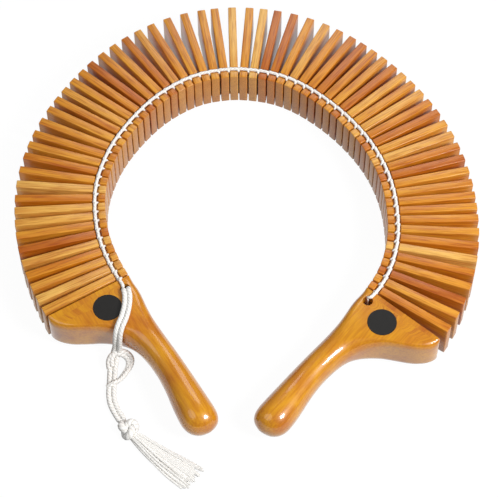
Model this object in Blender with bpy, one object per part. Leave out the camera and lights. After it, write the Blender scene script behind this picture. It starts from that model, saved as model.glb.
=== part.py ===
"""A kokiriko: 66 small wooden slats tied side by side on a doubled cotton cord, with a handle at each end.

It lies on a table as a wide open fan. All sizes are in metres, +Z is up, and the cord's tail lies towards -Y.
"""

import math

import bmesh
import bpy
from mathutils import Matrix, Vector

MM = 0.001

# Slats
SLAT_COUNT = 66
SLAT_OUTER = 67.5 * MM  # cord line to outer end
SLAT_INNER = 8.5 * MM  # cord line to inner end
SLAT_WIDTH = 36.0 * MM
SLAT_THICKNESS = 7.0 * MM
SLAT_EDGE = 0.7 * MM
NOTCH_WIDTH = 5.0 * MM
NOTCH_DEPTH = 2.4 * MM

# Chain: the distance between neighbouring slats at the cord, and how far each gap is fanned open
PITCH = 8.74 * MM
GAP = PITCH - SLAT_THICKNESS
LEFT_HANDLE_FAN = 1.0
RIGHT_HANDLE_FAN = 5.9
FAN_STRETCHES = (
    (4, 2.9), (2, 4.3), (3, 3.0), (3, 4.9), (2, 2.7), (2, 4.4), (5, 2.6), (5, 4.0), (3, 6.1), (1, 2.7),
    (2, 6.0), (2, 3.4), (3, 5.5), (2, 4.2), (7, 2.6), (2, 3.2), (7, 3.4), (2, 2.2), (5, 4.0), (3, 5.0),
)
# Gaps whose cord crossing is one piece with the slats on both sides of it
JOINED_GAPS = (1, 3, 7, 12, 16, 18, 20, 29, 32, 39, 41, 43, 46, 49, 52, 55)
FIRST_HINGE = Vector((-103.7 * MM, -73.1 * MM, 0.0))
FIRST_DIRECTION = math.radians(210.8)

# Handles: the straight side lies along the end slat, the grip leaves it square
HANDLE_TOP = SLAT_WIDTH
HANDLE_BOTTOM = 2.4 * MM
HANDLE_MIDDLE = (HANDLE_TOP + HANDLE_BOTTOM) / 2
HANDLE_HALF = (HANDLE_TOP - HANDLE_BOTTOM) / 2
HOLE_RADIUS = 4.25 * MM
HOLE_FROM_SIDE = 9.5 * MM
# From the straight side to the grip's end: distance, inner edge, outer edge, half height, edge radius
HANDLE_SECTIONS = (
    (0.0, -8.6, 66.2, 16.8, 1.0), (2.5, -8.9, 67.0, 16.8, 4.0), (7.0, -9.3, 66.2, 16.8, 6.0),
    (12.0, -9.5, 62.8, 16.8, 6.0), (18.0, -9.3, 56.0, 16.8, 6.0), (24.0, -8.7, 45.8, 16.8, 6.5),
    (30.0, -8.1, 35.5, 16.8, 7.5), (37.0, -7.8, 27.5, 16.5, 9.0), (45.0, -8.2, 21.0, 16.0, 11.0),
    (55.0, -9.3, 16.6, 15.0, 13.5), (68.0, -10.2, 14.0, 14.0, 14.0), (84.0, -10.9, 13.1, 13.6, 13.6),
    (100.0, -11.3, 14.3, 14.0, 14.0), (114.0, -11.5, 16.5, 14.8, 14.8), (127.0, -11.7, 18.0, 15.2, 15.2),
    (135.0, -11.6, 17.9, 14.8, 14.8), (141.0, -10.5, 15.8, 12.8, 12.8), (145.5, -7.6, 11.6, 9.0, 9.0),
    (148.0, -2.4, 5.6, 4.0, 4.0),
)
CORNER_STEPS = 3

# Binding cord, squeezed in the notches and thin in the gaps
CORD_HALF_WIDTH = 1.65 * MM
CORD_HALF_HEIGHT = 1.0 * MM
CROSSING_WIDTH = 3.6 * MM
CLEAR = 0.3 * MM
CROSSING_THICKNESS = GAP - 2.4 * CLEAR
CORD_SIDES = 6

# Cord tail: two loose cords side by side. Points are millimetres from the first hinge, and height
TAIL_RADIUS = 1.7 * MM
TAIL_SPACING = 3.9 * MM
TAIL_HANGING = (
    (5.8, -9.7, 33.0), (6.0, -10.3, 36.6), (6.5, -12.8, 38.1), (7.4, -18.0, 38.1), (7.1, -27.0, 38.1),
    (5.4, -36.0, 38.1), (3.5, -41.5, 38.1), (2.0, -45.0, 36.9), (0.4, -48.8, 33.4), (-0.8, -51.2, 26.0),
    (-1.1, -51.8, 15.0), (-1.2, -52.3, 5.5),
)
TAIL_LYING = ((-3.2, -79.5, 2.1), (-4.6, -88.0, 2.1), (-3.6, -96.0, 2.1), (-1.0, -102.3, 2.1), (2.6, -109.4, 2.1))
LOOP_CENTRE = (0.4, -66.8)
LOOP_HALF = (7.0, 9.0)
LOOP_TUBE = 3.3
END_KNOT = (7.6, -119.0)
END_KNOT_HALF = (7.0, 9.3, 4.6)
# Centre, half width and half height, from the knot to the frayed end
TASSEL = (
    ((14.3, -127.0), 4.0, 3.0), ((20.5, -132.0), 5.5, 3.2), ((34.0, -143.0), 8.0, 2.4),
    ((49.0, -154.5), 10.5, 1.8), ((62.5, -163.5), 12.3, 1.4),
)
TAIL_SAMPLES = 3


def clear_scene():
    for old in list(bpy.data.objects):
        bpy.data.objects.remove(old, do_unlink=True)


def srgb(code):
    """The linear colour of an sRGB hex code."""
    values = [int(code[i:i + 2], 16) / 255 for i in (1, 3, 5)]
    return [v / 12.92 if v <= 0.04045 else ((v + 0.055) / 1.055) ** 2.4 for v in values] + [1.0]


def make_material(name, code, roughness):
    material = bpy.data.materials.new(name)
    material.use_nodes = True
    shader = material.node_tree.nodes["Principled BSDF"]
    shader.inputs["Base Color"].default_value = srgb(code)
    shader.inputs["Roughness"].default_value = roughness
    shader.inputs["Metallic"].default_value = 0.0
    return material


def new_object(name, mesh, material, hidden=False):
    obj = bpy.data.objects.new(name, mesh)
    bpy.context.scene.collection.objects.link(obj)
    obj.data.materials.append(material) if not obj.data.materials else None
    if hidden:
        obj.hide_render = True
        obj.display_type = "WIRE"
    return obj


def mesh_from(bm, name):
    bmesh.ops.recalc_face_normals(bm, faces=bm.faces)
    mesh = bpy.data.meshes.new(name)
    bm.to_mesh(mesh)
    bm.free()
    return mesh


def add_boolean(obj, operation, other):
    modifier = obj.modifiers.new(operation.lower(), "BOOLEAN")
    modifier.operation = operation
    modifier.solver = "EXACT"
    modifier.object = other


def fan_angles():
    """How far each gap is open, in radians: handle to first slat, slat to slat, last slat to handle."""
    degrees = [LEFT_HANDLE_FAN]
    for count, angle in FAN_STRETCHES:
        degrees += [angle] * count
    return [math.radians(angle) for angle in degrees + [RIGHT_HANDLE_FAN]]


def walk_chain():
    """The hinge before each slat and after the last, and each slat's direction, ending with the handle's."""
    hinges, directions = [FIRST_HINGE.copy()], []
    angle = FIRST_DIRECTION
    for opening in fan_angles():
        angle -= opening
        directions.append(angle)
        along = Vector((math.sin(angle), -math.cos(angle), 0.0))
        hinges.append(hinges[-1] + along * PITCH)
    return hinges[:-1], directions


def slat_outline():
    """The board seen from its broad side, with a notch in each long edge."""
    half = NOTCH_WIDTH / 2
    lower = [(-SLAT_INNER, 0.0), (-half, 0.0), (-half, NOTCH_DEPTH), (half, NOTCH_DEPTH), (half, 0.0), (SLAT_OUTER, 0.0)]
    upper = [(x, SLAT_WIDTH - z) for x, z in reversed(lower)]
    return lower + upper


def slat_mesh():
    """A slat whose origin is on the hinge that it shares with the piece before it."""
    bm = bmesh.new()
    near = -GAP / 2
    points = [bm.verts.new((x, near, z)) for x, z in slat_outline()]
    face = bm.faces.new(points)
    wall = bmesh.ops.extrude_face_region(bm, geom=[face])
    moved = [item for item in wall["geom"] if isinstance(item, bmesh.types.BMVert)]
    bmesh.ops.translate(bm, verts=moved, vec=(0.0, -SLAT_THICKNESS, 0.0))
    rims = [edge for edge in bm.edges if abs(edge.verts[0].co.y - edge.verts[1].co.y) < 1e-6]
    bmesh.ops.bevel(bm, geom=rims, offset=SLAT_EDGE, segments=1, profile=0.5, affect="EDGES", material=-1)
    return mesh_from(bm, "slat")


def box_mesh(name, size, centre):
    bm = bmesh.new()
    bmesh.ops.create_cube(bm, size=1.0, matrix=Matrix.Translation(centre) @ Matrix.Diagonal((*size, 1.0)))
    return mesh_from(bm, name)


def make_slats(hinges, directions, wood):
    """Each slat, or each two slats that share a cord crossing, as one object on its hinge."""
    single = slat_mesh()
    crossing = box_mesh(
        "crossing",
        (CROSSING_WIDTH, GAP + 4 * CLEAR, SLAT_WIDTH - 2 * NOTCH_DEPTH - 4 * CLEAR),
        (0.0, -PITCH, SLAT_WIDTH / 2),
    )
    index = 0
    while index < SLAT_COUNT:
        name = f"slat_{index + 1:02d}"
        place = Matrix.Translation(hinges[index]) @ Matrix.Rotation(directions[index], 4, "Z")
        if index not in JOINED_GAPS:
            slat = new_object(name, single, wood)
            slat.matrix_world = place
            index += 1
            continue
        slat = new_object(f"{name}_{index + 2:02d}", single, wood)
        slat.matrix_world = place
        second = new_object(f"second_{index + 2:02d}", single, wood, hidden=True)
        second.matrix_world = Matrix.Translation(hinges[index + 1]) @ Matrix.Rotation(directions[index + 1], 4, "Z")
        plug = new_object(f"crossing_{index + 2:02d}", crossing, wood, hidden=True)
        plug.matrix_world = place
        add_boolean(slat, "UNION", plug)
        add_boolean(slat, "UNION", second)
        index += 2


def handle_section(inner, outer, half, radius):
    """A rounded rectangle across the handle, as (x, z) points about its middle height."""
    centre = (inner + outer) / 2
    half_width = (outer - inner) / 2
    rx = min(radius, half_width * 0.93)
    rz = min(radius, half * 0.93)
    points = []
    for quarter, (sx, sz) in enumerate(((1, 1), (-1, 1), (-1, -1), (1, -1))):
        for step in range(CORNER_STEPS + 1):
            angle = math.radians(90 * quarter + 90 * step / CORNER_STEPS)
            x = centre + sx * (half_width - rx) + rx * math.cos(angle)
            z = sz * (half - rz) + rz * math.sin(angle)
            points.append((x, z))
    return points


def handle_mesh():
    bm = bmesh.new()
    rings = []
    for away, inner, outer, half, radius in HANDLE_SECTIONS:
        section = handle_section(inner * MM, outer * MM, half * MM, radius * MM)
        rings.append([bm.verts.new((x, GAP / 2 + away * MM, z)) for x, z in section])
    count = len(rings[0])
    for near, far in zip(rings, rings[1:]):
        for i in range(count):
            bm.faces.new((near[i], near[(i + 1) % count], far[(i + 1) % count], far[i]))
    bm.faces.new(rings[0])
    bm.faces.new(rings[-1])
    return mesh_from(bm, "handle")


def hole_mesh():
    bm = bmesh.new()
    bmesh.ops.create_cone(
        bm, cap_ends=True, segments=16, radius1=HOLE_RADIUS, radius2=HOLE_RADIUS, depth=4 * HANDLE_HALF,
        matrix=Matrix.Translation((0.0, GAP / 2 + HOLE_FROM_SIDE, 0.0)),
    )
    return mesh_from(bm, "hole")


def make_handles(hinges, directions, lacquer):
    """The two handles are one part; the right one is turned over."""
    mesh, hole = handle_mesh(), hole_mesh()
    places = {
        "handle_left": (hinges[0], FIRST_DIRECTION, 0.0),
        "handle_right": (hinges[-1], directions[-1], math.pi),
    }
    frames = {}
    for name, (hinge, direction, turn) in places.items():
        middle = Vector((hinge.x, hinge.y, HANDLE_MIDDLE))
        frame = Matrix.Translation(middle) @ Matrix.Rotation(direction, 4, "Z") @ Matrix.Rotation(turn, 4, "X")
        handle = new_object(name, mesh, lacquer)
        handle.matrix_world = frame
        cutter = new_object(f"{name}_hole", hole, lacquer, hidden=True)
        cutter.matrix_world = frame
        add_boolean(handle, "DIFFERENCE", cutter)
        frames[name] = frame
    return frames


def sweep(bm, stations, sides):
    """A closed tube through stations of (centre, first half axis, second half axis)."""
    rings = []
    for centre, first, second in stations:
        ring = []
        for i in range(sides):
            angle = 2 * math.pi * i / sides
            ring.append(bm.verts.new(centre + first * math.cos(angle) + second * math.sin(angle)))
        rings.append(ring)
    for near, far in zip(rings, rings[1:]):
        for i in range(sides):
            bm.faces.new((near[i], near[(i + 1) % sides], far[(i + 1) % sides], far[i]))
    bm.faces.new(rings[0])
    bm.faces.new(rings[-1])


def cord_stations(hinges, directions, frames):
    """The doubled cord: up out of the left hole, along the upper notches, down the right hole and back below."""
    up = Vector((0.0, 0.0, 1.0))
    wide, high = CORD_HALF_WIDTH, CORD_HALF_HEIGHT
    in_notch = SLAT_WIDTH - NOTCH_DEPTH + CLEAR + high
    on_paddle = HANDLE_TOP + CLEAR + high
    in_hole = HOLE_FROM_SIDE + GAP / 2 - 2.4 * MM
    flat = 0.8 * MM

    def over(point, direction, height, width=wide):
        across = Vector((math.cos(direction), math.sin(direction), 0.0))
        return Vector((point.x, point.y, height)), across * width, up * high

    def hole_point(frame, direction, away, height, turned):
        across = Vector((math.cos(direction), math.sin(direction), 0.0))
        back = Vector((-math.sin(direction), math.cos(direction), 0.0)) * (-1 if turned else 1)
        origin = Vector((frame.translation.x, frame.translation.y, 0.0))
        return origin + back * away + up * height, across, back

    def hole_end(name, direction, turned, height, tilt):
        centre, across, back = hole_point(frames[name], direction, in_hole, height, turned)
        return centre, across * 1.5 * MM, (back * 1.0 + up * tilt).normalized() * flat

    left, right = FIRST_DIRECTION, directions[-1]
    top = [
        hole_end("handle_left", left, False, HANDLE_MIDDLE + 4 * MM, 0.0),
        hole_end("handle_left", left, False, HANDLE_TOP - 0.5 * MM, 0.0),
        hole_end("handle_left", left, False, on_paddle - 0.3 * MM, 1.0),
    ]
    centre, across, back = hole_point(frames["handle_left"], left, 2.5 * MM, on_paddle, False)
    top.append((centre, across * wide, up * high))
    for index in range(SLAT_COUNT):
        along = Vector((math.sin(directions[index]), -math.cos(directions[index]), 0.0))
        middle = hinges[index] + along * PITCH / 2
        top.append(over(hinges[index], directions[index], in_notch if index else on_paddle, wide * 1.12))
        top.append(over(middle, directions[index], in_notch, wide))
    top.append(over(hinges[SLAT_COUNT], right, on_paddle, wide * 1.12))
    centre, across, back = hole_point(frames["handle_right"], right, 2.5 * MM, on_paddle, True)
    top.append((centre, across * wide, up * high))
    top.append(hole_end("handle_right", right, True, on_paddle - 0.3 * MM, 1.0))
    top.append(hole_end("handle_right", right, True, HANDLE_TOP - 0.5 * MM, 0.0))
    return top


def mirrored_below(stations):
    """The same run in the lower notches, in the opposite order."""
    floor_gap = 0.15 * MM
    below = []
    for centre, first, second in reversed(stations):
        about = SLAT_WIDTH if centre.z < SLAT_WIDTH - 1.0 * MM else HANDLE_TOP + HANDLE_BOTTOM
        height = about - centre.z
        flipped = Vector((second.x, second.y, -second.z))
        lowest = abs(flipped.z) + floor_gap
        below.append((Vector((centre.x, centre.y, max(height, lowest))), first, flipped))
    return below


def make_binding_cord(hinges, directions, frames, cotton):
    top = cord_stations(hinges, directions, frames)
    below = mirrored_below(top)
    bm = bmesh.new()
    sweep(bm, top + below, CORD_SIDES)
    cord = new_object("binding_cord", mesh_from(bm, "binding_cord"), cotton)
    bars = bmesh.new()
    for index in range(SLAT_COUNT + 1):
        if index - 1 in JOINED_GAPS:
            continue
        direction = directions[index] + fan_angles()[index] / 2
        low = NOTCH_DEPTH - CLEAR - CORD_HALF_HEIGHT
        size = (CROSSING_WIDTH, CROSSING_THICKNESS, SLAT_WIDTH - 2 * low)
        place = Matrix.Translation((hinges[index].x, hinges[index].y, SLAT_WIDTH / 2))
        place = place @ Matrix.Rotation(direction, 4, "Z") @ Matrix.Diagonal((*size, 1.0))
        bmesh.ops.create_cube(bars, size=1.0, matrix=place)
    crossings = new_object("cord_crossings", mesh_from(bars, "cord_crossings"), cotton, hidden=True)
    add_boolean(cord, "UNION", crossings)


def smooth_route(points, samples):
    """Points along a smooth curve through the given ones."""
    vectors = [Vector(point) for point in points]
    ends = [2 * vectors[0] - vectors[1]] + vectors + [2 * vectors[-1] - vectors[-2]]
    route = []
    for before, start, stop, after in zip(ends, ends[1:], ends[2:], ends[3:]):
        for step in range(samples):
            t = step / samples
            route.append(
                0.5 * (2 * start + (stop - before) * t + (2 * before - 5 * start + 4 * stop - after) * t * t
                       + (3 * start - before - 3 * stop + after) * t ** 3)
            )
    return route + [vectors[-1]]


def beside(route, distance):
    """The same route, moved sideways by a distance."""
    moved = []
    side = Vector((1.0, 0.35, 0.0)).normalized()
    for index, point in enumerate(route):
        ahead = route[min(index + 1, len(route) - 1)] - route[max(index - 1, 0)]
        flat = Vector((ahead.x, ahead.y, 0.0))
        if index and flat.length > 0.5 * ahead.length:
            side = Vector((-flat.y, flat.x, 0.0)).normalized()
        moved.append(point + side * distance)
    return moved


def make_tube(name, route, radius, material):
    curve = bpy.data.curves.new(name, "CURVE")
    curve.dimensions = "3D"
    curve.bevel_depth = radius
    curve.bevel_resolution = 2
    curve.use_fill_caps = True
    spline = curve.splines.new("POLY")
    spline.points.add(len(route) - 1)
    for point, place in zip(spline.points, route):
        point.co = (*place, 1.0)
    return new_object(name, curve, material)


def from_first_hinge(x, y, z):
    return Vector((FIRST_HINGE.x + x * MM, FIRST_HINGE.y + y * MM, z * MM))


def make_tail(cotton):
    """The cord's two ends: over the left paddle, through the loop knot and the end knot to the frayed end."""
    for name, points in (("tail_over_handle", TAIL_HANGING), ("tail_on_table", TAIL_LYING)):
        route = smooth_route([from_first_hinge(*point) for point in points], TAIL_SAMPLES)
        for letter, side in (("a", 0.5), ("b", -0.5)):
            make_tube(f"{name}_{letter}", beside(route, side * TAIL_SPACING), TAIL_RADIUS, cotton)
    loop = bmesh.new()
    rings = []
    for step in range(16):
        turn = 2 * math.pi * step / 16
        out = Vector((math.cos(turn), math.sin(turn), 0.0))
        x = LOOP_CENTRE[0] + LOOP_HALF[0] * out.x
        y = LOOP_CENTRE[1] + LOOP_HALF[1] * out.y
        centre = from_first_hinge(x, y, LOOP_TUBE + 0.3)
        ring = []
        for corner in range(8):
            angle = 2 * math.pi * corner / 8
            lift = Vector((0.0, 0.0, math.sin(angle)))
            ring.append(loop.verts.new(centre + (out * math.cos(angle) + lift) * LOOP_TUBE * MM))
        rings.append(ring)
    for near, far in zip(rings, rings[1:] + rings[:1]):
        for i in range(8):
            loop.faces.new((near[i], near[(i + 1) % 8], far[(i + 1) % 8], far[i]))
    new_object("loop_knot", mesh_from(loop, "loop_knot"), cotton)
    knot = bmesh.new()
    bmesh.ops.create_icosphere(knot, subdivisions=2, radius=MM, matrix=Matrix.Diagonal((*END_KNOT_HALF, 1.0)))
    end_knot = new_object("end_knot", mesh_from(knot, "end_knot"), cotton)
    end_knot.location = from_first_hinge(*END_KNOT, END_KNOT_HALF[2] + 0.3)
    tassel = bmesh.new()
    stations = []
    heading = Vector((TASSEL[-1][0][0] - TASSEL[0][0][0], TASSEL[-1][0][1] - TASSEL[0][0][1], 0.0)).normalized()
    across = Vector((-heading.y, heading.x, 0.0))
    for (x, y), half_width, half_height in TASSEL:
        centre = from_first_hinge(x, y, half_height + 0.3)
        stations.append((centre, across * half_width * MM, Vector((0.0, 0.0, half_height * MM))))
    sweep(tassel, stations, 8)
    new_object("tassel", mesh_from(tassel, "tassel"), cotton)


def main():
    clear_scene()
    wood = make_material("slat_wood", "#D98C2B", 0.5)
    lacquer = make_material("handle_lacquer", "#D98A10", 0.2)
    cotton = make_material("white_cotton", "#F2F0EA", 0.9)
    hinges, directions = walk_chain()
    make_slats(hinges, directions, wood)
    frames = make_handles(hinges, directions, lacquer)
    make_binding_cord(hinges, directions, frames, cotton)
    make_tail(cotton)


main()
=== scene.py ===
"""The looks of the kokiriko: lacquered slats, glossy handles and a white cotton cord.

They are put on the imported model's frame. All sizes are in metres, +Z is up, and the clapper lies fanned open
with its handles towards -Y.
"""

import math
import random

import bmesh
import bpy
from mathutils import Matrix, Vector


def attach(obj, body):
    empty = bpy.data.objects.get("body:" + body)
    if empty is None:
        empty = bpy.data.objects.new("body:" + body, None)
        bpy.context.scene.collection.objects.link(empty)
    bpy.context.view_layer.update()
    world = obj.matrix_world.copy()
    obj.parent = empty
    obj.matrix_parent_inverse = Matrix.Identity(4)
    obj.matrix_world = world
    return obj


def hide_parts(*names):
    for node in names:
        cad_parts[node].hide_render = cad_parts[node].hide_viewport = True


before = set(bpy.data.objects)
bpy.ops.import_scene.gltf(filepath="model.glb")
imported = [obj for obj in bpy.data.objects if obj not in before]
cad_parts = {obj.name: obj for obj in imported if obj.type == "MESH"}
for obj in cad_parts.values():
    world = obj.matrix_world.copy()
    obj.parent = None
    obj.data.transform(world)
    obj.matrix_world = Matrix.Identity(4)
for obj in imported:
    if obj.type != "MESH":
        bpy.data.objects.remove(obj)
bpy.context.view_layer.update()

MM = 0.001

# Slats, as in the CAD part
SLAT_COUNT = 66
SLAT_OUTER = 67.5 * MM
SLAT_INNER = 8.5 * MM
SLAT_WIDTH = 36.0 * MM
SLAT_THICKNESS = 7.0 * MM
SLAT_EDGE = 0.65 * MM
SLAT_EDGE_STEPS = 3
END_AREA = 50.0 * MM * MM  # more than a notch's wall has, and less than a slat's end
END_FACING = 0.9  # how squarely a face looks along the slat if it is an end
NOTCH_WIDTH = 5.0 * MM
NOTCH_DEPTH = 2.4 * MM
PITCH = 8.74 * MM
GAP = PITCH - SLAT_THICKNESS

# How far each gap is fanned open, in degrees
LEFT_HANDLE_FAN = 1.0
RIGHT_HANDLE_FAN = 5.9
FAN_STRETCHES = (
    (4, 2.9), (2, 4.3), (3, 3.0), (3, 4.9), (2, 2.7), (2, 4.4), (5, 2.6), (5, 4.0), (3, 6.1), (1, 2.7),
    (2, 6.0), (2, 3.4), (3, 5.5), (2, 4.2), (7, 2.6), (2, 3.2), (7, 3.4), (2, 2.2), (5, 4.0), (3, 5.0),
)
# The first slat, counted from 0, of each two that are one CAD node
FIRST_OF_PAIR = (1, 3, 7, 12, 16, 18, 20, 29, 32, 39, 41, 43, 46, 49, 52, 55)
FIRST_HINGE = Vector((-103.7 * MM, -73.1 * MM, 0.0))
FIRST_DIRECTION = math.radians(210.8)

# Slat tones, from 0, palest, to 1, darkest, with the slats counted from 0
PALE_SLATS = (1, 10, 31, 33, 60)
GOLDEN_SLATS = (7, 25, 37, 46)
RED_SLATS = (5, 21, 34, 52, 63)
PALE_TONE = 0.02
GOLDEN_TONE = 0.15
RED_TONE = 0.8
USUAL_TONE = 0.42
TONE_SPREAD = 0.15
TONE_RANGE = (0.12, 0.72)
TONE_SEED = 5

# Shading: edges that bend more than this many degrees stay sharp
SHARP_CORD = 40.0
SHARP_WOOD = 50.0
# How far the grain pattern moves from piece to piece, in metres, so that no two pieces are alike
SLAT_GRAIN_STEP = Vector((0.31, 0.17, 0.23))
HANDLE_GRAIN_STEP = Vector((0.37, 0.11, 0.19))
# Settings of a mix that lays a shade over a colour
DARKENING = {"data_type": "RGBA", "blend_type": "MULTIPLY"}

# Handles, as in the CAD part
HANDLE_TOP = SLAT_WIDTH
HANDLE_BOTTOM = 2.4 * MM
HANDLE_MIDDLE = (HANDLE_TOP + HANDLE_BOTTOM) / 2
HOLE_RADIUS = 4.25 * MM
HOLE_FROM_SIDE = 9.5 * MM
HOLE_SIDES = 40
DRILL_LENGTH = 60.0 * MM
# In millimetres: distance from the straight side, inner edge, outer edge, half height, edge radius
HANDLE_SECTIONS = (
    (0.0, -8.6, 66.2, 16.8, 1.0), (2.5, -8.9, 67.0, 16.8, 4.0), (7.0, -9.3, 66.2, 16.8, 6.0),
    (12.0, -9.5, 62.8, 16.8, 6.0), (18.0, -9.3, 56.0, 16.8, 6.0), (24.0, -8.7, 45.8, 16.8, 6.5),
    (30.0, -8.1, 35.5, 16.8, 7.5), (37.0, -7.8, 27.5, 16.5, 9.0), (45.0, -8.2, 21.0, 16.0, 11.0),
    (55.0, -9.3, 16.6, 15.0, 13.5), (68.0, -10.2, 14.0, 14.0, 14.0), (84.0, -10.9, 13.1, 13.6, 13.6),
    (100.0, -11.3, 14.3, 14.0, 14.0), (114.0, -11.5, 16.5, 14.8, 14.8), (127.0, -11.7, 18.0, 15.2, 15.2),
    (135.0, -11.6, 17.9, 14.8, 14.8), (141.0, -10.5, 15.8, 12.8, 12.8), (145.5, -7.6, 11.6, 9.0, 9.0),
    (148.0, -2.4, 5.6, 4.0, 4.0), (148.6, -0.2, 3.4, 1.8, 1.8),
)
HANDLE_SIDES = 40
HANDLE_SAMPLES = 3
SMALLEST_EDGE = 0.8
ROUNDEST = 0.96  # the share of a half width that a corner may take
DISC_CENTRE = (21.0 * MM, 17.8 * MM)
DISC_RADIUS = 12.0 * MM
DISC_THICKNESS = 0.3 * MM
DISC_MIDDLE = 0.16 * MM  # above the paddle, so that the disc is just clear of it
DISC_SIDES = 64

# One strand over a slat: mm across, share of the way to the next hinge, mm below the slat's top, mm of radius.
# None is the slat's middle height.
STITCH = (
    (0.9, 0.0, None, 0.78), (0.9, 0.0, 4.4, 0.78), (0.9, 0.0, 2.6, 1.05), (0.7, 0.02, 1.2, 1.45),
    (0.45, 0.16, 0.6, 1.45), (0.35, 0.45, 0.7, 1.4), (0.25, 0.74, 0.6, 1.45), (-0.55, 0.91, 0.8, 1.25),
    (-1.9, 0.98, 1.6, 1.0), (-2.1, 1.0, 3.0, 0.78), (-1.6, 1.0, 5.4, 0.78), (-0.9, 1.0, None, 0.78),
)
STITCH_SIDES = 10
STITCH_SAMPLES = 3
FLOOR_GAP = 0.15 * MM
OVER_PADDLE = 1.6 * MM  # how much higher than on a slat the cord's ends run at the handles
SHORT_OF_HOLE = 2.4 * MM  # how far before the middle of the hole they go down into it
INTO_HOLE = HOLE_FROM_SIDE + GAP / 2 - SHORT_OF_HOLE

# Cord tail, as in the CAD part: millimetres from the first hinge, and height
TAIL_RADIUS = 2.05 * MM
TAIL_SPACING = 4.1 * MM
TAIL_ROUTE = (
    (5.8, -9.7, 33.0), (6.0, -10.3, 36.8), (6.5, -12.8, 38.5), (7.4, -18.0, 38.5), (7.1, -27.0, 38.5),
    (5.4, -36.0, 38.5), (3.5, -41.5, 38.4), (2.0, -45.2, 37.1), (0.6, -49.2, 33.4), (-0.3, -51.8, 26.0),
    (-1.0, -52.6, 16.0), (-2.6, -54.0, 9.0), (-4.0, -58.0, 4.6), (-4.8, -63.0, 2.6), (-5.2, -70.0, 2.15),
    (-5.3, -79.5, 2.15), (-5.4, -88.0, 2.15), (-4.2, -96.0, 2.15), (-1.2, -103.0, 2.15), (3.2, -110.4, 2.15),
)
KNOT_ROUTE = ((6.0, -115.0), (9.6, -120.5), (14.5, -126.5))
KNOT_ROUTE_HEIGHT = 3.0
TAIL_SAMPLES = 4
TAIL_SIDES = 14
# Loop knot: place, height and radius in millimetres, and how far its two strands lie to each side
LOOP_ROUTE = (
    (-6.5, -66.0, 5.2, 2.0), (-7.0, -60.0, 7.0, 2.1), (-4.5, -55.5, 9.4, 2.2), (0.5, -54.4, 10.4, 2.3),
    (6.0, -55.8, 9.2, 2.3), (9.2, -59.6, 6.6, 2.2), (8.4, -64.6, 4.2, 2.0), (5.0, -70.5, 3.4, 1.9),
    (0.6, -76.5, 3.6, 1.8), (-4.0, -80.0, 5.0, 1.7), (-8.0, -80.6, 3.4, 1.6),
)
LOOP_STRAND = Vector((1.3, 0.7, 0.6))
LOOP_SAMPLES = 5
# End knot, in millimetres: centre, half width, half length, middle height, rise of the strand and its radius
END_KNOT = (9.6, -120.5)
END_KNOT_WIDE = 6.0
END_KNOT_LONG = 6.6
END_KNOT_HEIGHT = 5.4
END_KNOT_RISE = 2.2
END_KNOT_STRAND = 3.1
END_KNOT_STEPS = 96
CORD_SIDES = 12
STEEP = 0.8  # how upright a tube starts if its first side can't be taken from the vertical
# Which way the two tail cords lie side by side where they stand upright, and the share of a stretch that has to
# lie flat for its own direction to say it
FIRST_SIDE = Vector((1.0, 0.35, 0.0)).normalized()
FLAT = 0.5
# Tassel, in millimetres: centre, half width and half height
TASSEL = (
    ((12.0, -124.0), 3.4, 2.8), ((21.5, -132.6), 6.2, 3.2), ((35.0, -143.6), 9.2, 2.6),
    ((50.0, -155.0), 12.0, 1.9), ((63.5, -164.6), 14.0, 1.4),
)
THREADS = 96
THREAD_SEED = 11
THREAD_SIDES = 6
THREAD_SAMPLES = 3
# Shares of the tassel's half width, half height and length that the threads take
THREAD_SPREAD = 0.95
THREAD_HEIGHT = 0.95
THREAD_LIFT = (-0.6, 0.8)
THREAD_REACH = (0.84, 1.0)
# In millimetres
THREAD_SWAY = 0.5
THREAD_RADIUS = (0.62, 0.8)
LOWEST_THREAD = 0.9

# Camera, from the photograph's perspective
CAMERA_PLACE = (0.00297, -0.8515, 1.4080)
CAMERA_TILT = math.radians(30.457)
CAMERA_LENS = 139.0
CAMERA_SENSOR = 36.0
CAMERA_REACH = 20.0

# Studio: lamp, place, diameter in metres and watts
LAMPS = (
    ("key_lamp", (1.1, -0.7, 1.3), 0.6, 31.0),
    ("fill_lamp", (-0.9, -0.6, 1.4), 1.2, 5.0),
    ("back_lamp", (0.2, 1.2, 1.2), 1.0, 6.0),
)
ROOM_LIGHT = 0.2
FLOOR_HALF = 6.0
FLOOR_GLOW = 1.2
FLOOR_GLOW_SHARE = 0.8


def srgb(code):
    """The linear colour of an sRGB hex code."""
    values = [int(code[i:i + 2], 16) / 255 for i in (1, 3, 5)]
    return [v / 12.92 if v <= 0.04045 else ((v + 0.055) / 1.055) ** 2.4 for v in values] + [1.0]


def make_camera():
    data = bpy.data.cameras.new("camera")
    data.lens = CAMERA_LENS
    data.sensor_width = CAMERA_SENSOR
    data.clip_end = CAMERA_REACH
    camera = bpy.data.objects.new("camera", data)
    camera.location = CAMERA_PLACE
    camera.rotation_euler = (CAMERA_TILT, 0.0, 0.0)
    bpy.context.scene.collection.objects.link(camera)
    bpy.context.scene.camera = camera


def new_material(name):
    """A material whose nodes are still to be added."""
    material = bpy.data.materials.new(name)
    material.use_nodes = True
    material.node_tree.nodes.clear()
    return material, material.node_tree


def add(tree, kind, inputs=None, stops=(), **settings):
    """Adds a shader node. Inputs are values or other nodes' outputs, stops a ramp's places and colours."""
    node = tree.nodes.new("ShaderNode" + kind)
    for key, value in settings.items():
        setattr(node, key, value)
    if stops:
        elements = node.color_ramp.elements
        while len(elements) < len(stops):
            elements.new(0.5)
        for element, (position, code) in zip(elements, stops):
            element.position = position
            element.color = srgb(code)
    for key, value in (inputs or {}).items():
        if isinstance(value, bpy.types.NodeSocket):
            tree.links.new(value, node.inputs[key])
        else:
            node.inputs[key].default_value = value
    return node


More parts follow.
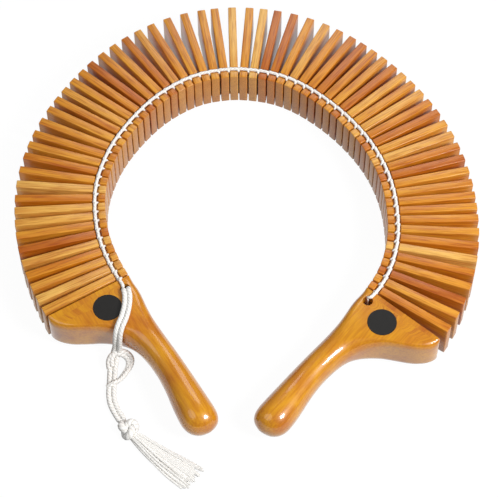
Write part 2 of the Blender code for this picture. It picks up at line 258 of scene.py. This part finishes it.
def streaks(tree, place, per_mm, stretch=(1.0, 1.0, 1.0), detail=4.0):
    """Streaks or spots with a given number per millimetre. A stretch below 1 draws them out that way."""
    drawn_out = add(tree, "Mapping", {"Vector": place, "Scale": stretch})
    noise = add(tree, "TexNoise", {"Vector": drawn_out.outputs[0], "Scale": per_mm / MM, "Detail": detail})
    return noise.outputs["Fac"]


def slat_wood():
    """Hardwood boards, sanded and thinly lacquered.

    To the eye: fine grain along each slat under a soft sheen, and darker end grain that drank more lacquer.
    """
    material, tree = new_material("slat_lacquered_wood")
    grain = add(tree, "Attribute", attribute_name="grain").outputs["Vector"]
    tone = add(tree, "Attribute", attribute_name="tone").outputs["Fac"]
    end = add(tree, "Attribute", attribute_name="end_face").outputs["Fac"]
    # Grain lines about 1 mm apart, broad bands about 6 mm apart, and end grain pores about 0.6 mm apart
    lines = streaks(tree, grain, 1.1, (0.05, 1.0, 1.0))
    bands = streaks(tree, grain, 0.16, (0.12, 1.0, 1.0), 2.0)
    pores = streaks(tree, grain, 1.6, detail=3.0)
    board = add(tree, "ValToRGB", {"Fac": tone}, (
        (0.0, "#EEBB60"), (0.3, "#E3A034"), (0.55, "#D98C1C"), (0.8, "#C47016"), (1.0, "#A85614"),
    )).outputs["Color"]
    line_shade = add(tree, "ValToRGB", {"Fac": lines}, (
        (0.32, "#C79A66"), (0.55, "#FFFFFF"), (0.75, "#FFF4DC"),
    )).outputs["Color"]
    band_shade = add(tree, "ValToRGB", {"Fac": bands}, ((0.3, "#D9A870"), (0.6, "#FFFFFF"))).outputs["Color"]
    pore_shade = add(tree, "ValToRGB", {"Fac": pores}, ((0.35, "#A8641C"), (0.65, "#D89440"))).outputs["Color"]
    lined = add(tree, "Mix", {0: 0.75, 6: board, 7: line_shade}, **DARKENING).outputs[2]
    banded = add(tree, "Mix", {0: 0.6, 6: lined, 7: band_shade}, **DARKENING).outputs[2]
    end_wood = add(tree, "Mix", {0: 0.65, 6: banded, 7: pore_shade}, data_type="RGBA").outputs[2]
    wood = add(tree, "Mix", {0: end, 6: banded, 7: end_wood}, data_type="RGBA").outputs[2]
    roughness = add(tree, "Math", {0: lines, 1: 0.12, 2: 0.33}, operation="MULTIPLY_ADD").outputs[0]
    relief = add(tree, "Bump", {"Strength": 0.4, "Distance": 0.08 * MM, "Height": lines}).outputs["Normal"]
    surface = add(tree, "BsdfPrincipled", {
        "Base Color": wood, "Roughness": roughness, "Normal": relief, "Coat Weight": 0.25, "Coat Roughness": 0.2,
    })
    add(tree, "OutputMaterial", {"Surface": surface.outputs["BSDF"]})
    return material


def handle_lacquer():
    """Carved and sanded wood under thick clear amber lacquer.

    To the eye: soft patches deep down, and a wet, sharp gloss over them.
    """
    material, tree = new_material("handle_amber_lacquer")
    grain = add(tree, "Attribute", attribute_name="grain").outputs["Vector"]
    # Patches about 30 mm wide, and grain lines about 1.4 mm apart along the grip
    patches = streaks(tree, grain, 0.035, (1.0, 0.5, 1.0), 3.0)
    lines = streaks(tree, grain, 0.7, (1.0, 0.06, 1.0))
    amber = add(tree, "ValToRGB", {"Fac": patches}, (
        (0.3, "#B8640A"), (0.45, "#D08606"), (0.6, "#DC980A"), (0.75, "#C4740A"),
    )).outputs["Color"]
    line_shade = add(tree, "ValToRGB", {"Fac": lines}, ((0.35, "#C99254"), (0.6, "#FFFFFF"))).outputs["Color"]
    wood = add(tree, "Mix", {0: 0.4, 6: amber, 7: line_shade}, **DARKENING).outputs[2]
    roughness = add(tree, "Math", {0: lines, 1: 0.1, 2: 0.3}, operation="MULTIPLY_ADD").outputs[0]
    relief = add(tree, "Bump", {"Strength": 0.15, "Distance": 0.4 * MM, "Height": patches}).outputs["Normal"]
    surface = add(tree, "BsdfPrincipled", {
        "Base Color": wood, "Roughness": roughness, "Normal": relief,
        "Coat Weight": 0.9, "Coat Roughness": 0.07, "Coat IOR": 1.5,
    })
    add(tree, "OutputMaterial", {"Surface": surface.outputs["BSDF"]})
    return material


def white_cotton(name, plies_per_mm, plies, depth):
    """Spun and twisted cotton, from the piece's own UV map: round the cord, and along it.

    To the eye: dull and soft white, with slanting plies, painted shade in the grooves between them, and a little
    fuzz.
    """
    material, tree = new_material(name)
    uv = add(tree, "UVMap", uv_map="cord").outputs["UV"]
    ways = add(tree, "SeparateXYZ", {0: uv}).outputs
    around = add(tree, "Math", {0: ways[0], 1: plies}, operation="MULTIPLY").outputs[0]
    along = add(tree, "Math", {0: ways[1], 1: plies_per_mm / MM}, operation="MULTIPLY").outputs[0]
    turn = add(tree, "Math", {0: around, 1: along}, operation="ADD").outputs[0]
    phase = add(tree, "Math", {0: turn, 1: math.pi}, operation="MULTIPLY").outputs[0]
    wave = add(tree, "Math", {0: phase}, operation="SINE").outputs[0]
    ply = add(tree, "Math", {0: wave}, operation="ABSOLUTE").outputs[0]
    # Fuzz about 0.5 mm across
    fuzz = streaks(tree, add(tree, "TexCoord").outputs["Object"], 2.2)
    fuzz_height = add(tree, "Math", {0: fuzz, 1: 0.5}, operation="MULTIPLY").outputs[0]
    height = add(tree, "Math", {0: ply, 1: fuzz_height}, operation="ADD").outputs[0]
    # Painted shade: the white is darker in the grooves between the plies and brightest on their crests
    painted_ply_groove_shade = add(tree, "ValToRGB", {"Fac": ply}, (
        (0.0, "#D8D4CC"), (0.3, "#F5F3EF"), (1.0, "#FFFEFC"),
    )).outputs["Color"]
    fuzz_shade = add(tree, "ValToRGB", {"Fac": fuzz}, ((0.3, "#EEECE8"), (0.6, "#FFFFFF"))).outputs["Color"]
    white = add(tree, "Mix", {0: 0.8, 6: painted_ply_groove_shade, 7: fuzz_shade}, **DARKENING).outputs[2]
    relief = add(tree, "Bump", {"Strength": 0.8, "Distance": depth, "Height": height}).outputs["Normal"]
    surface = add(tree, "BsdfPrincipled", {
        "Base Color": white, "Roughness": 0.92, "Normal": relief, "Sheen Weight": 0.25, "Sheen Roughness": 0.5,
    })
    add(tree, "OutputMaterial", {"Surface": surface.outputs["BSDF"]})
    return material


def disc_paper():
    """Plain dark paper stuck on the lacquer.

    To the eye: nearly black and half matt, with faint fibres.
    """
    material, tree = new_material("plain_dark_disc")
    # Fibres about 0.7 mm across
    fibres = streaks(tree, add(tree, "TexCoord").outputs["Object"], 1.5)
    dark = add(tree, "ValToRGB", {"Fac": fibres}, ((0.3, "#0A0807"), (0.7, "#16120E"))).outputs["Color"]
    relief = add(tree, "Bump", {"Strength": 0.3, "Distance": 0.05 * MM, "Height": fibres}).outputs["Normal"]
    surface = add(tree, "BsdfPrincipled", {"Base Color": dark, "Roughness": 0.55, "Normal": relief})
    add(tree, "OutputMaterial", {"Surface": surface.outputs["BSDF"]})
    return material


def mesh_from(bm, name):
    mesh = bpy.data.meshes.new(name)
    bm.to_mesh(mesh)
    bm.free()
    return mesh


def new_object(name, mesh):
    obj = bpy.data.objects.new(name, mesh)
    bpy.context.scene.collection.objects.link(obj)
    return obj


def finish_piece(name, bm, material, body, slot_name, *stands_for, sharp=SHARP_CORD):
    """The bmesh as a piece at the origin that rides a body and stands for CAD nodes."""
    mesh = mesh_from(bm, name)
    mesh.materials.append(material)
    mesh.shade_smooth()
    mesh.set_sharp_from_angle(angle=math.radians(sharp))
    piece = new_object(name, mesh)
    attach(piece, body)
    if stands_for:
        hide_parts(*stands_for)
    return piece


def fan_angles():
    """How far each gap is open, in radians: handle to first slat, slat to slat, last slat to handle."""
    degrees = [LEFT_HANDLE_FAN]
    for count, angle in FAN_STRETCHES:
        degrees += [angle] * count
    return [math.radians(angle) for angle in degrees + [RIGHT_HANDLE_FAN]]


def walk_chain():
    """The place of each slat on the hinge before it, and last the right handle's."""
    places = []
    hinge = FIRST_HINGE.copy()
    angle = FIRST_DIRECTION
    for opening in fan_angles():
        angle -= opening
        places.append(Matrix.Translation(hinge) @ Matrix.Rotation(angle, 4, "Z"))
        hinge += Vector((math.sin(angle), -math.cos(angle), 0.0)) * PITCH
    return places


def slat_bodies():
    """The CAD body of each slat: two slats that share a crossing are one body."""
    names = []
    while len(names) < SLAT_COUNT:
        first = len(names)
        if first in FIRST_OF_PAIR:
            names += [f"slat_{first + 1:02d}_{first + 2:02d}"] * 2
        else:
            names.append(f"slat_{first + 1:02d}")
    return names


def keep_grain(bm, shift):
    """Notes each point's own place on the piece, so that the grain follows the piece."""
    layer = bm.verts.layers.float_vector.new("grain")
    for vert in bm.verts:
        vert[layer] = vert.co + shift


def make_slat(number, place, tone, material, body):
    """A board with softened edges and a notch for the cord in each long edge."""
    bm = bmesh.new()
    half = NOTCH_WIDTH / 2
    lower = [
        (-SLAT_INNER, 0.0), (-half, 0.0), (-half, NOTCH_DEPTH),
        (half, NOTCH_DEPTH), (half, 0.0), (SLAT_OUTER, 0.0),
    ]
    upper = [(x, SLAT_WIDTH - z) for x, z in reversed(lower)]
    face = bm.faces.new([bm.verts.new((x, -GAP / 2, z)) for x, z in lower + upper])
    wall = bmesh.ops.extrude_face_region(bm, geom=[face])
    moved = [item for item in wall["geom"] if isinstance(item, bmesh.types.BMVert)]
    bmesh.ops.translate(bm, verts=moved, vec=(0.0, -SLAT_THICKNESS, 0.0))
    bmesh.ops.bevel(
        bm, geom=list(bm.edges), offset=SLAT_EDGE, offset_type="OFFSET", segments=SLAT_EDGE_STEPS, profile=0.5,
        affect="EDGES", material=-1, clamp_overlap=True,
    )
    bmesh.ops.recalc_face_normals(bm, faces=bm.faces)
    keep_grain(bm, SLAT_GRAIN_STEP * number)
    tones = bm.verts.layers.float.new("tone")
    ends = bm.faces.layers.float.new("end_face")
    for vert in bm.verts:
        vert[tones] = tone
    for part in bm.faces:
        is_end = abs(part.normal.x) > END_FACING and part.calc_area() > END_AREA
        part[ends] = 1.0 if is_end else 0.0
    bmesh.ops.transform(bm, matrix=place, verts=bm.verts)
    finish_piece(f"wood_slat_{number:02d}", bm, material, body, "slat_wood", body, sharp=SHARP_WOOD)


def slat_tone(index, dice):
    if index in PALE_SLATS:
        return PALE_TONE
    if index in GOLDEN_SLATS:
        return GOLDEN_TONE
    if index in RED_SLATS:
        return RED_TONE
    return min(TONE_RANGE[1], max(TONE_RANGE[0], dice.gauss(USUAL_TONE, TONE_SPREAD)))


def grow_rings(bm, rings):
    """One circle, extruded again and again, with each ring's points put in place. Gives the two end loops."""
    order = bm.verts.layers.int.new("order")
    start = bmesh.ops.create_circle(bm, segments=len(rings[0]), radius=1.0)["verts"]
    for number, vert in enumerate(start):
        vert[order] = number
        vert.co = rings[0][number]
    first_loop = list(bm.edges)
    loop = first_loop
    for ring in rings[1:]:
        grown = bmesh.ops.extrude_edge_only(bm, edges=loop)["geom"]
        verts = {item for item in grown if isinstance(item, bmesh.types.BMVert)}
        for vert in verts:
            vert.co = ring[vert[order]]
        edges = [item for item in grown if isinstance(item, bmesh.types.BMEdge)]
        loop = [edge for edge in edges if edge.verts[0] in verts and edge.verts[1] in verts]
    return first_loop, loop


def close_ends(bm, rings):
    """Grows the rings, closes both ends and turns the faces outwards."""
    for loop in grow_rings(bm, rings):
        bmesh.ops.holes_fill(bm, edges=loop, sides=0)
    bmesh.ops.recalc_face_normals(bm, faces=bm.faces)


def smooth_rows(rows, samples):
    """Rows of numbers on a smooth curve through the given rows."""
    vectors = [Vector(row) for row in rows]
    ends = [2 * vectors[0] - vectors[1]] + vectors + [2 * vectors[-1] - vectors[-2]]
    route = []
    for before, start, stop, after in zip(ends, ends[1:], ends[2:], ends[3:]):
        for step in range(samples):
            t = step / samples
            route.append(
                0.5 * (2 * start + (stop - before) * t + (2 * before - 5 * start + 4 * stop - after) * t * t
                       + (3 * start - before - 3 * stop + after) * t ** 3)
            )
    return route + [vectors[-1]]


def handle_point(index, inner, outer, half, radius):
    """A point of the rounded rectangle across the handle, spread evenly by angle over its four corners."""
    per_corner = HANDLE_SIDES // 4
    quarter, step = divmod(index, per_corner)
    sx, sz = ((1, 1), (-1, 1), (-1, -1), (1, -1))[quarter]
    half_width = (outer - inner) / 2
    rx = min(radius, half_width * ROUNDEST)
    rz = min(radius, half * ROUNDEST)
    angle = math.radians(90 * quarter + 90 * step / (per_corner - 1))
    x = (inner + outer) / 2 + sx * (half_width - rx) + rx * math.cos(angle)
    return x, sz * (half - rz) + rz * math.sin(angle)


def handle_shell():
    """The handle about its middle height, with its straight side towards the slats."""
    bm = bmesh.new()
    bands = smooth_rows([row[:4] for row in HANDLE_SECTIONS], HANDLE_SAMPLES)
    edges = smooth_rows([(row[0], row[4], 0.0) for row in HANDLE_SECTIONS], HANDLE_SAMPLES)
    rings = []
    for (away, inner, outer, half), edge in zip(bands, edges):
        size = (inner * MM, outer * MM, half * MM, max(edge.y, SMALLEST_EDGE) * MM)
        section = [handle_point(index, *size) for index in range(HANDLE_SIDES)]
        rings.append([(x, GAP / 2 + away * MM, z) for x, z in section])
    close_ends(bm, rings)
    return bm


def make_handle(name, node, place, material, body, number):
    """The handle with its cord hole cut right through."""
    bm = handle_shell()
    keep_grain(bm, HANDLE_GRAIN_STEP * number)
    solid = new_object(name + "_shell", mesh_from(bm, name + "_shell"))
    bm = bmesh.new()
    bmesh.ops.create_cone(
        bm, cap_ends=True, segments=HOLE_SIDES, radius1=HOLE_RADIUS, radius2=HOLE_RADIUS, depth=DRILL_LENGTH,
        matrix=Matrix.Translation((0.0, GAP / 2 + HOLE_FROM_SIDE, 0.0)),
    )
    drill = new_object(name + "_drill", mesh_from(bm, name + "_drill"))
    cut = solid.modifiers.new("hole", "BOOLEAN")
    cut.operation = "DIFFERENCE"
    cut.solver = "EXACT"
    cut.object = drill
    bpy.context.view_layer.update()
    drilled = bpy.data.meshes.new_from_object(solid.evaluated_get(bpy.context.evaluated_depsgraph_get()))
    bm = bmesh.new()
    bm.from_mesh(drilled)
    bmesh.ops.transform(bm, matrix=place, verts=bm.verts)
    bmesh.ops.recalc_face_normals(bm, faces=bm.faces)
    used = (solid.data, drill.data, drilled)
    for helper in (solid, drill):
        bpy.data.objects.remove(helper, do_unlink=True)
    for mesh in used:
        bpy.data.meshes.remove(mesh)
    finish_piece(name, bm, material, body, "handle_lacquer", node, sharp=SHARP_WOOD)


def make_disc(name, place, material, body):
    """A thin disc on the paddle's top face, just clear of it."""
    bm = bmesh.new()
    bmesh.ops.create_cone(
        bm, cap_ends=True, segments=DISC_SIDES, radius1=DISC_RADIUS, radius2=DISC_RADIUS - DISC_THICKNESS / 2,
        depth=DISC_THICKNESS, matrix=place @ Matrix.Translation((0.0, 0.0, HANDLE_TOP + DISC_MIDDLE)),
    )
    finish_piece(name, bm, material, body, "handle_lacquer")


def add_tube(bm, stations, sides=CORD_SIDES):
    """A tube through stations of (centre, radius), with a UV map of the way round it and along it."""
    centres = [Vector(station[0]) for station in stations]
    radii = [station[1] for station in stations]
    side = Vector((0.0, 0.0, 1.0))
    if abs((centres[1] - centres[0]).normalized().z) > STEEP:
        side = Vector((1.0, 0.0, 0.0))
    rings, distances = [], [0.0]
    for index, (centre, radius) in enumerate(zip(centres, radii)):
        ahead = (centres[min(index + 1, len(centres) - 1)] - centres[max(index - 1, 0)]).normalized()
        side = (side - ahead * side.dot(ahead)).normalized()
        other = ahead.cross(side)
        if index:
            distances.append(distances[-1] + (centre - centres[index - 1]).length)
        turns = [2 * math.pi * number / sides for number in range(sides)]
        rings.append([centre + (side * math.cos(turn) + other * math.sin(turn)) * radius for turn in turns])
    tube = bmesh.new()
    close_ends(tube, rings)
    order = tube.verts.layers.int["order"]
    uv = tube.loops.layers.uv.new("cord")
    for face in tube.faces:
        numbers = [loop.vert[order] for loop in face.loops]
        wraps = max(numbers) - min(numbers) > sides / 2
        for loop in face.loops:
            number = loop.vert[order]
            nearest = min(range(len(centres)), key=lambda k: (centres[k] - loop.vert.co).length_squared)
            around = (number + sides if wraps and number < sides / 2 else number) / sides
            loop[uv].uv = (around, distances[nearest])
    mesh = mesh_from(tube, "tube")
    bm.from_mesh(mesh)
    bpy.data.meshes.remove(mesh)


def stitch_stations(place, start, stop, top, bottom):
    """A strand up out of one gap, over the wood and down into the next gap; then its partner below."""
    above = []
    for across, share, depth, radius in STITCH:
        height = (top + bottom) / 2 if depth is None else top - depth * MM
        above.append((across * MM, start + (stop - start) * share, height, radius * MM))
    below = [(-x, y, max(top + bottom - z, radius + FLOOR_GAP), radius) for x, y, z, radius in above]
    for run in (above, below):
        yield [(place @ Vector(row[:3]), row[3]) for row in smooth_rows(run, STITCH_SAMPLES)]


def make_stitch(name, place, start, stop, lift, material, body):
    """One body's stretch of the doubled cord. Both strands are lifted from where they run on a slat."""
    bm = bmesh.new()
    for stations in stitch_stations(place, start, stop, SLAT_WIDTH + lift, lift):
        add_tube(bm, stations, sides=STITCH_SIDES)
    finish_piece(name, bm, material, body, "white_cotton", "binding_cord")


def make_stitches(places, bodies, material):
    """The doubled cord, in stretches that meet on the hinges, from one handle's hole to the other's."""
    make_stitch("cord_left_end", places[0], INTO_HOLE, 0.0, OVER_PADDLE, material, "left_handle")
    for index in range(SLAT_COUNT):
        make_stitch(f"cord_stitch_{index + 1:02d}", places[index], 0.0, -PITCH, 0.0, material, bodies[index])
    make_stitch("cord_right_end", places[SLAT_COUNT], 0.0, -INTO_HOLE, OVER_PADDLE, material, "right_handle")


def from_first_hinge(x, y, z):
    """A point given in millimetres from the first hinge."""
    return Vector((FIRST_HINGE.x + x * MM, FIRST_HINGE.y + y * MM, z * MM))


def beside(route, distance):
    """The same route, moved sideways by a distance."""
    moved = []
    side = FIRST_SIDE
    for index, point in enumerate(route):
        ahead = route[min(index + 1, len(route) - 1)] - route[max(index - 1, 0)]
        flat = Vector((ahead.x, ahead.y, 0.0))
        if index and flat.length > FLAT * ahead.length:
            side = Vector((-flat.y, flat.x, 0.0)).normalized()
        moved.append(point + side * distance)
    return moved


def make_loop_knot(material):
    """Two strands side by side that leave the cords, arch over and come back to them."""
    bm = bmesh.new()
    rows = smooth_rows(LOOP_ROUTE, LOOP_SAMPLES)
    for sign in (-1, 1):
        shift = LOOP_STRAND * sign
        stations = [
            (from_first_hinge(x + shift.x, y + shift.y, z + shift.z), radius * MM) for x, y, z, radius in rows
        ]
        add_tube(bm, stations)
    return finish_piece("cord_loop_knot", bm, material, "left_handle", "white_cotton", "loop_knot")


def make_end_knot(material):
    """A thick strand drawn up into three interlocked turns."""
    bm = bmesh.new()
    stations = []
    for step in range(END_KNOT_STEPS + 1):
        t = 2 * math.pi * step / END_KNOT_STEPS
        x = END_KNOT[0] + (math.sin(t) + 2 * math.sin(2 * t)) / 3 * END_KNOT_WIDE
        y = END_KNOT[1] + (math.cos(t) - 2 * math.cos(2 * t)) / 3 * END_KNOT_LONG
        z = END_KNOT_HEIGHT - END_KNOT_RISE * math.sin(3 * t)
        stations.append((from_first_hinge(x, y, z), END_KNOT_STRAND * MM))
    add_tube(bm, stations)
    return finish_piece("cord_end_knot", bm, material, "left_handle", "white_cotton", "end_knot")


def make_tassel(material):
    """Loose threads that spread out from the end knot."""
    dice = random.Random(THREAD_SEED)
    bm = bmesh.new()
    start = Vector((*TASSEL[0][0], 0.0))
    heading = (Vector((*TASSEL[-1][0], 0.0)) - start).normalized()
    across = Vector((-heading.y, heading.x, 0.0))
    for thread in range(THREADS):
        spread = dice.uniform(-THREAD_SPREAD, THREAD_SPREAD)
        lift = dice.uniform(*THREAD_LIFT)
        reach = dice.uniform(*THREAD_REACH)
        rows = []
        for (x, y), half_width, half_height in TASSEL:
            sway = spread * half_width + dice.uniform(-THREAD_SWAY, THREAD_SWAY)
            spot = start + (Vector((x, y, 0.0)) + across * sway - start) * reach
            height = max(LOWEST_THREAD, half_height * (1 + lift) * THREAD_HEIGHT)
            rows.append((spot.x, spot.y, height, dice.uniform(*THREAD_RADIUS)))
        rows = smooth_rows(rows, THREAD_SAMPLES)
        stations = [(from_first_hinge(x, y, z), radius * MM) for x, y, z, radius in rows]
        add_tube(bm, stations, sides=THREAD_SIDES)
    return finish_piece("cord_tassel", bm, material, "left_handle", "white_cotton", "tassel")


def make_tail_cord(letter, side, material):
    """One of the two loose cords, from the handle's hole over the paddle and along the table to its knot."""
    middle = smooth_rows([from_first_hinge(*point) for point in TAIL_ROUTE], TAIL_SAMPLES)
    route = beside(middle, side * TAIL_SPACING)
    in_knot = [from_first_hinge(x + side, y, KNOT_ROUTE_HEIGHT) for x, y in KNOT_ROUTE]
    route += smooth_rows([route[-1]] + in_knot, TAIL_SAMPLES)[1:]
    bm = bmesh.new()
    add_tube(bm, [(point, TAIL_RADIUS) for point in route], sides=TAIL_SIDES)
    nodes = (f"tail_over_handle_{letter}", f"tail_on_table_{letter}")
    piece = finish_piece(f"tail_cord_{letter}", bm, material, "left_handle", "white_cotton", *nodes)
    length = sum((stop - start).length for start, stop in zip(route, route[1:]))
    tuple(route[0])
    [tuple(point) for point in route]


def make_tail(cord, threads):
    """The cord's two loose ends with the loop knot, the end knot and the frayed tassel."""
    pieces = [make_loop_knot(cord), make_end_knot(cord), make_tassel(threads)]
    make_tail_cord("a", 0.5, cord)
    make_tail_cord("b", -0.5, cord)


def make_floor():
    """A plain floor that the camera sees as white, and that keeps the object's shadow."""
    bm = bmesh.new()
    bmesh.ops.create_grid(bm, x_segments=1, y_segments=1, size=FLOOR_HALF)
    floor = new_object("floor", mesh_from(bm, "floor"))
    material, tree = new_material("white_table")
    ray = add(tree, "LightPath").outputs
    rays = {0: ray["Is Camera Ray"], 1: ray["Is Glossy Ray"]}
    seen = add(tree, "Math", rays, operation="MAXIMUM").outputs[0]
    share = add(tree, "Math", {0: seen, 1: FLOOR_GLOW_SHARE}, operation="MULTIPLY").outputs[0]
    plain = add(tree, "BsdfDiffuse", {"Color": srgb("#8A8A8A")}).outputs[0]
    glow = add(tree, "Emission", {"Strength": FLOOR_GLOW}).outputs[0]
    surface = add(tree, "MixShader", {0: share, 1: plain, 2: glow}).outputs[0]
    add(tree, "OutputMaterial", {"Surface": surface})
    floor.data.materials.append(material)


def make_lamp(name, place, size, watts):
    """A round soft lamp that looks at the object."""
    data = bpy.data.lights.new(name, "AREA")
    data.shape = "DISK"
    data.size = size
    data.energy = watts
    lamp = bpy.data.objects.new(name, data)
    lamp.location = place
    lamp.rotation_euler = (-Vector(place)).to_track_quat("-Z", "Y").to_euler()
    bpy.context.scene.collection.objects.link(lamp)


def make_light():
    """Soft studio lamps in a dim room that the camera sees as white."""
    world = bpy.data.worlds.new("studio")
    bpy.context.scene.world = world
    world.use_nodes = True
    tree = world.node_tree
    tree.nodes.clear()
    ray = add(tree, "LightPath").outputs
    rays = {0: ray["Is Camera Ray"], 1: ray["Is Transmission Ray"]}
    seen = add(tree, "Math", rays, operation="MAXIMUM").outputs[0]
    strength = add(tree, "MapRange", {"Value": seen, "To Min": ROOM_LIGHT, "To Max": 1.0}).outputs["Result"]
    room = add(tree, "Background", {"Color": srgb("#FFFFFF"), "Strength": strength})
    add(tree, "OutputWorld", {"Surface": room.outputs[0]})
    for lamp in LAMPS:
        make_lamp(*lamp)
    bpy.context.scene.view_settings.view_transform = "Standard"


def make_handles_and_discs(right):
    """The two handles are one shape; the right one is turned over."""
    lacquer = handle_lacquer()
    lift = Matrix.Translation((0.0, 0.0, HANDLE_MIDDLE))
    left = Matrix.Translation(FIRST_HINGE) @ Matrix.Rotation(FIRST_DIRECTION, 4, "Z")
    turned = Matrix.Rotation(math.pi, 4, "X")
    make_handle("wood_handle_left", "handle_left", lift @ left, lacquer, "left_handle", 1)
    make_handle("wood_handle_right", "handle_right", lift @ right @ turned, lacquer, "right_handle", 2)
    paper = disc_paper()
    x, y = DISC_CENTRE
    make_disc("plain_disc_left", left @ Matrix.Translation((x, y + GAP / 2, 0.0)), paper, "left_handle")
    make_disc("plain_disc_right", right @ Matrix.Translation((x, -y - GAP / 2, 0.0)), paper, "right_handle")


def main():
    make_camera()
    # Plies about 3 mm long on the cords, and about 1.3 mm on the loose threads
    cotton = white_cotton("twisted_cotton", 0.34, 3.0, 0.22 * MM)
    threads = white_cotton("loose_cotton_threads", 0.8, 2.0, 0.12 * MM)
    make_tail(cotton, threads)
    places = walk_chain()
    bodies = slat_bodies()
    wood = slat_wood()
    dice = random.Random(TONE_SEED)
    for index, body in enumerate(bodies):
        make_slat(index + 1, places[index], slat_tone(index, dice), wood, body)
    make_stitches(places, bodies, cotton)
    make_handles_and_discs(places[SLAT_COUNT])
    make_floor()
    make_light()


main()
